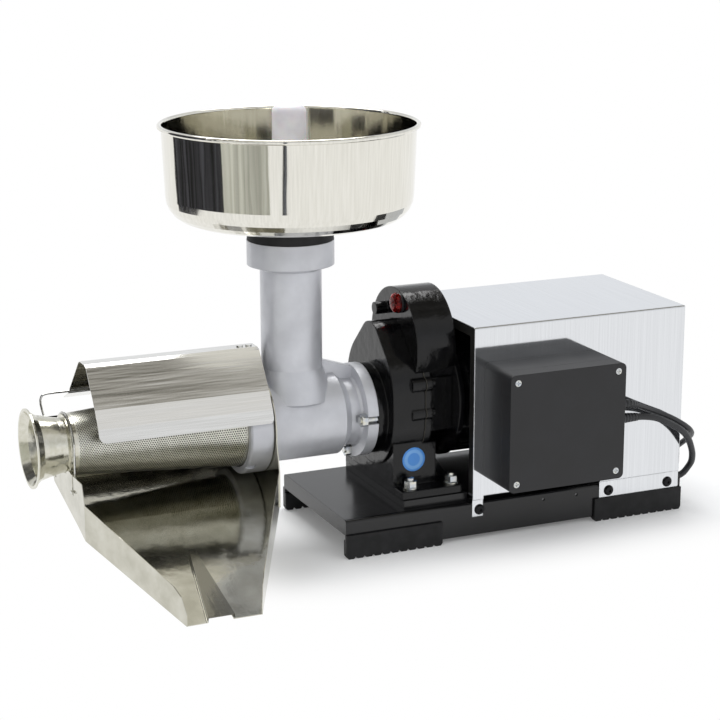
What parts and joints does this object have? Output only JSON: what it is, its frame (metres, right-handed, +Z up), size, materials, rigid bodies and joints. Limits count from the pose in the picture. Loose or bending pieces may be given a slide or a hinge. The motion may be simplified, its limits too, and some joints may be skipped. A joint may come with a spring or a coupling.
{
  "type": "electric tomato press",
  "caption": "Electric tomato press: geared motor on a folded base, auger in a perforated cone, hopper, splash guard and sloping pulp tray.",
  "frame": {"origin": "centre of the part's box on the surface that it stands on, measured without its leads", "axes": "+X from the waste outlet to the motor, +Y from the viewer's side to the back, +Z up"},
  "size_m": [0.7724, 0.4707, 0.478],
  "materials": {
    "black_paint": "black enamel over steel and cast housings, glossy",
    "grey_casting": "silver-grey lacquered aluminium casting, satin",
    "mirror_steel": "bright polished stainless sheet",
    "polished_steel": "polished stainless sheet, soft reflections",
    "perforated_steel": "perforated stainless sheet",
    "turned_steel": "turned and ground steel",
    "zinc": "zinc-plated fasteners",
    "black_plastic": "black moulded plastic, fine grain",
    "black_rubber": "black rubber",
    "white_plastic": "milky white food plastic",
    "red_plastic": "red translucent plastic",
    "clear_boot": "clear soft boot",
    "copper_winding": "varnished copper windings in laminated steel",
    "gear_steel": "cut gear steel",
    "gasket_paper": "gasket paper",
    "seal_red": "silicone seal"
  },
  "bodies": {
    "base": {"base_frame": "black_paint", "rubber_feet": "black_rubber", "riser_plate": "black_paint", "gearbox_front_case": "black_paint", "gearbox_gasket": "gasket_paper", "gearbox_rear_case": "black_paint", "case_screws": "black_paint", "foot_nuts": "zinc", "output_bearings": "turned_steel", "middle_bearings": "turned_steel", "output_seal": "seal_red", "flange_studs": "zinc", "flange_nuts": "zinc", "press_body": "grey_casting", "cone_seal": "seal_red", "filter_cone": "perforated_steel", "waste_outlet": "polished_steel", "motor_bearings": "turned_steel", "motor_front_bracket": "black_paint", "stator": "copper_winding", "motor_frame": "black_paint", "motor_rear_bracket": "black_paint", "motor_cover": "polished_steel", "cover_screws": "black_paint", "switch_body": "black_plastic", "switch_boot": "clear_boot", "box_back_plate": "black_plastic", "box_body": "black_plastic", "box_lid": "black_plastic", "lid_screws": "zinc", "run_capacitor": "white_plastic", "cable_glands": "black_plastic", "cable_grommets": "black_rubber", "link_cable": "black_rubber", "mains_cord": "black_rubber", "cord_coil": "black_rubber", "cord_tail": "black_rubber", "mains_plug": "black_rubber"},
    "rotor": {"rotor_shaft": "turned_steel", "motor_pinion": "gear_steel", "rotor": "turned_steel", "cooling_fan": "black_plastic"},
    "middle": {"middle_shaft": "gear_steel", "middle_wheel": "gear_steel"},
    "output": {"output_shaft": "turned_steel", "output_wheel": "gear_steel", "auger": "white_plastic", "auger_shank": "turned_steel"},
    "rocker": {"switch_rocker": "red_plastic"},
    "hopper": {"hopper": "mirror_steel", "hopper_ring": "black_rubber"},
    "pusher": {"pusher": "white_plastic"},
    "guard": {"splash_guard": "polished_steel", "guard_saddle": "polished_steel", "guard_clip": "turned_steel"},
    "tray": {"drip_tray": "polished_steel", "tray_end_plate": "polished_steel"},
    "bail": {"tray_bail": "turned_steel"},
    "ring_nut": {"ring_nut": "grey_casting"}
  },
  "joints": [
    {"name": "rotor_spin", "type": "hinge", "parent": "base", "child": "rotor", "pos_m": [0.1792, 0.04475, 0.1485], "axis": [1, 0, 0], "continuous": true},
    {"name": "middle_spin", "type": "hinge", "parent": "base", "child": "middle", "pos_m": [0.0542, 0.04475, 0.21], "axis": [1, 0, 0], "continuous": true},
    {"name": "auger_spin", "type": "hinge", "parent": "base", "child": "output", "pos_m": [0.0192, 0.04475, 0.138], "axis": [1, 0, 0], "continuous": true},
    {"name": "switch_rock", "type": "hinge", "parent": "base", "child": "rocker", "pos_m": [0.0472, 0.02975, 0.257], "axis": [0, 1, 0], "range_deg": [0, 20]},
    {"name": "hopper_lift", "type": "slide", "parent": "base", "child": "hopper", "axis": [0, 0, 1], "range_m": [0, 0.12]},
    {"name": "pusher_slide", "type": "slide", "parent": "base", "child": "pusher", "axis": [0, 0, 1], "range_m": [0, 0.28]},
    {"name": "guard_lift", "type": "slide", "parent": "base", "child": "guard", "axis": [0, 0, 1], "range_m": [0, 0.08]},
    {"name": "tray_swing", "type": "hinge", "parent": "base", "child": "tray", "pos_m": [-0.1158, 0.04475, 0.138], "axis": [-1, 0, 0], "range_deg": [0, 20]},
    {"name": "bail_swing", "type": "hinge", "parent": "tray", "child": "bail", "pos_m": [-0.3333, 0.04475, 0.097], "axis": [0, -1, 0], "range_deg": [0, 8]},
    {"name": "ring_nut_turn", "type": "hinge", "parent": "base", "child": "ring_nut", "pos_m": [-0.1298, 0.04475, 0.138], "axis": [-1, 0, 0], "range_deg": [0, 360]}
  ],
  "couplings": [
    {"joint": "middle_spin", "follows": "rotor_spin", "ratio": -0.17143},
    {"joint": "auger_spin", "follows": "rotor_spin", "ratio": 0.052987}
  ]
}
